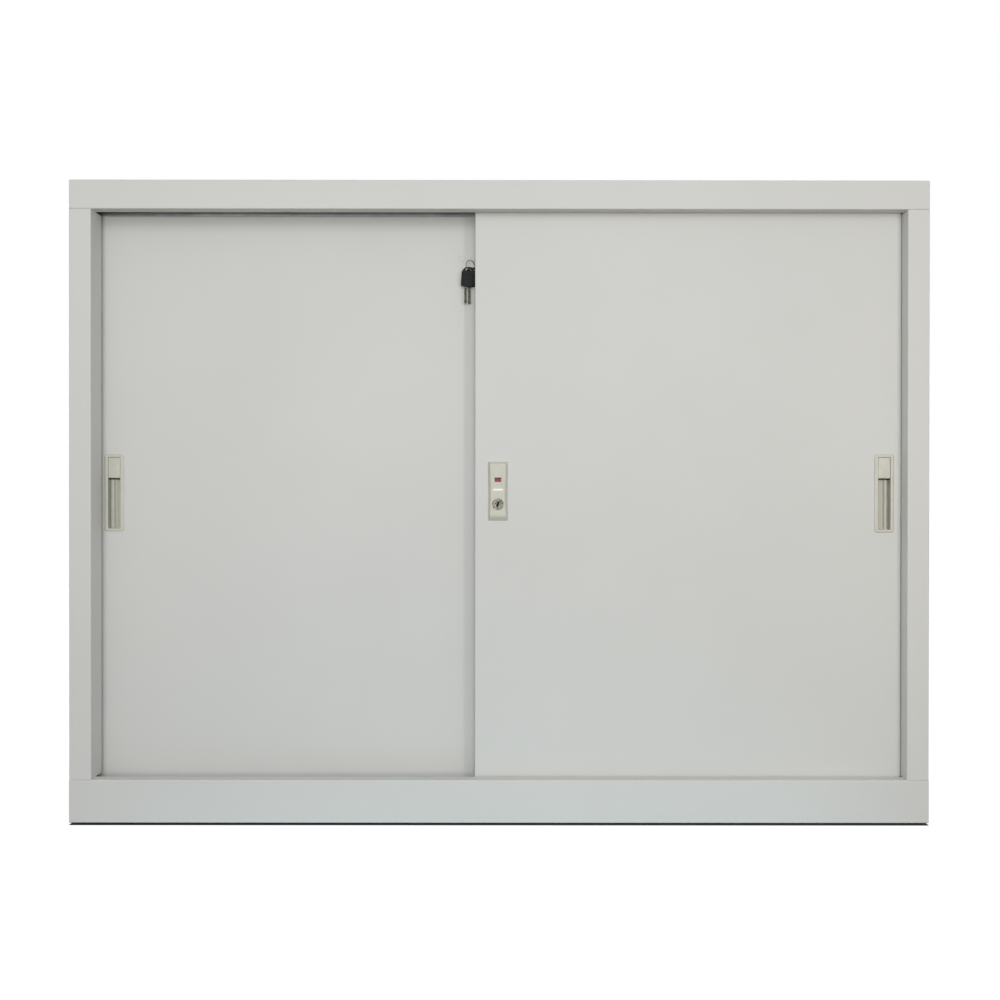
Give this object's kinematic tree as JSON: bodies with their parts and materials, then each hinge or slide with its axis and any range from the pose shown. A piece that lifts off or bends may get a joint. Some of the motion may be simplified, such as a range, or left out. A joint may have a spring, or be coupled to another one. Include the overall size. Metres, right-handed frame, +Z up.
{
  "type": "sliding door cabinet",
  "caption": "Low free-standing steel storage cabinet with overlapping sliding doors, recessed handles, a central lock, taped-on keys and adjustable shelves inside.",
  "frame": {"origin": "on the floor under the middle of the cabinet, half-way along its width and its depth", "axes": "+X along the front to the right as seen by someone facing the doors, +Y from the front to the back, +Z up"},
  "size_m": [1.18, 0.4, 0.885],
  "materials": {
    "painted_steel": "powder coat, warm light grey, fine orange peel",
    "zinc_plated_steel": "bright zinc plate",
    "aluminium_track": "mill finish extrusion",
    "rubber": "moulded black rubber",
    "nylon": "natural white nylon",
    "cream_plastic": "moulded cream ABS, fine texture",
    "clear_plastic": "clear acrylic pane",
    "lock_metal": "nickel-plated zinc die-cast",
    "red_plastic": "red moulded flag",
    "ring_wire": "nickel-plated spring wire",
    "clear_tape": "clear adhesive film",
    "black_plastic": "black moulded plastic",
    "key_metal": "nickel-silver blade, dulled"
  },
  "bodies": {
    "cabinet": {"back_panel": "painted_steel", "corner_gussets": "painted_steel", "feet": "zinc_plated_steel", "floor_brace": "painted_steel", "floor_panel": "painted_steel", "foot_plates": "painted_steel", "lower_track": "aluminium_track", "rear_rail": "painted_steel", "shelf_1": "painted_steel", "shelf_2": "painted_steel", "shelf_clips": "zinc_plated_steel", "side_panel_left": "painted_steel", "side_panel_right": "painted_steel", "sill_rail": "painted_steel", "top_panel": "painted_steel", "track_screws": "zinc_plated_steel", "track_stops": "rubber", "upper_track": "aluminium_track", "upright_front_left": "zinc_plated_steel", "upright_front_right": "zinc_plated_steel", "upright_rear_left": "zinc_plated_steel", "upright_rear_right": "zinc_plated_steel"},
    "left_door": {"key_ring": "ring_wire", "key_tape": "clear_tape", "left_door_panel": "painted_steel", "left_door_stiffeners": "painted_steel", "left_handle_cover": "cream_plastic", "left_handle_cup": "cream_plastic", "left_handle_fixing": "zinc_plated_steel", "left_roller_axles": "zinc_plated_steel", "left_roller_brackets": "zinc_plated_steel", "left_top_guides": "nylon", "lock_striker": "zinc_plated_steel"},
    "right_door": {"lock_cylinder": "lock_metal", "lock_housing": "cream_plastic", "lock_window": "clear_plastic", "right_door_panel": "painted_steel", "right_door_stiffeners": "painted_steel", "right_handle_cover": "cream_plastic", "right_handle_cup": "cream_plastic", "right_handle_fixing": "zinc_plated_steel", "right_roller_axles": "zinc_plated_steel", "right_roller_brackets": "zinc_plated_steel", "right_top_guides": "nylon"},
    "left_roller_1": {"left_roller_1": "nylon"},
    "left_roller_2": {"left_roller_2": "nylon"},
    "right_roller_1": {"right_roller_1": "nylon"},
    "right_roller_2": {"right_roller_2": "nylon"},
    "lock_plug": {"lock_cam": "zinc_plated_steel", "lock_cam_nut": "zinc_plated_steel", "lock_plug": "lock_metal"},
    "lock_indicator": {"lock_indicator": "red_plastic"},
    "key_1": {"key_1_blade": "key_metal", "key_1_head": "black_plastic"},
    "key_2": {"key_2_blade": "key_metal", "key_2_head": "black_plastic"}
  },
  "joints": [
    {"name": "left_door_slide", "type": "slide", "parent": "cabinet", "child": "left_door", "axis": [1, 0, 0], "range_m": [0, 0.49]},
    {"name": "right_door_slide", "type": "slide", "parent": "cabinet", "child": "right_door", "axis": [1, 0, 0], "range_m": [-0.5255, 0]},
    {"name": "left_roller_1_spin", "type": "hinge", "parent": "left_door", "child": "left_roller_1", "pos_m": [-0.509, -0.1445, 0.059], "axis": [0, 1, 0], "range_deg": [0, 3121]},
    {"name": "left_roller_2_spin", "type": "hinge", "parent": "left_door", "child": "left_roller_2", "pos_m": [-0.026, -0.1445, 0.059], "axis": [0, 1, 0], "range_deg": [0, 3121]},
    {"name": "right_roller_1_spin", "type": "hinge", "parent": "right_door", "child": "right_roller_1", "pos_m": [0.026, -0.1705, 0.059], "axis": [0, 1, 0], "range_deg": [-3347, 0]},
    {"name": "right_roller_2_spin", "type": "hinge", "parent": "right_door", "child": "right_roller_2", "pos_m": [0.4995, -0.1705, 0.059], "axis": [0, 1, 0], "range_deg": [-3347, 0]},
    {"name": "key_turn", "type": "hinge", "parent": "right_door", "child": "lock_plug", "pos_m": [-0.002, -0.1855, 0.4406], "axis": [0, 1, 0], "range_deg": [0, 90]},
    {"name": "indicator_slide", "type": "slide", "parent": "right_door", "child": "lock_indicator", "axis": [0, 0, 1], "range_m": [-0.0063, 0]},
    {"name": "key_1_swing", "type": "hinge", "parent": "left_door", "child": "key_1", "pos_m": [-0.04135, -0.1575, 0.7699], "axis": [0, 1, 0], "range_deg": [-10, 10]},
    {"name": "key_2_swing", "type": "hinge", "parent": "left_door", "child": "key_2", "pos_m": [-0.04135, -0.1575, 0.7699], "axis": [0, 1, 0], "range_deg": [-10, 10]}
  ],
  "couplings": [
    {"joint": "left_roller_1_spin", "follows": "left_door_slide", "rad_per_m": 111.11},
    {"joint": "left_roller_2_spin", "follows": "left_door_slide", "rad_per_m": 111.11},
    {"joint": "right_roller_1_spin", "follows": "right_door_slide", "rad_per_m": 111.11},
    {"joint": "right_roller_2_spin", "follows": "right_door_slide", "rad_per_m": 111.11},
    {"joint": "indicator_slide", "follows": "key_turn", "m_per_rad": -0.0040064}
  ]
}
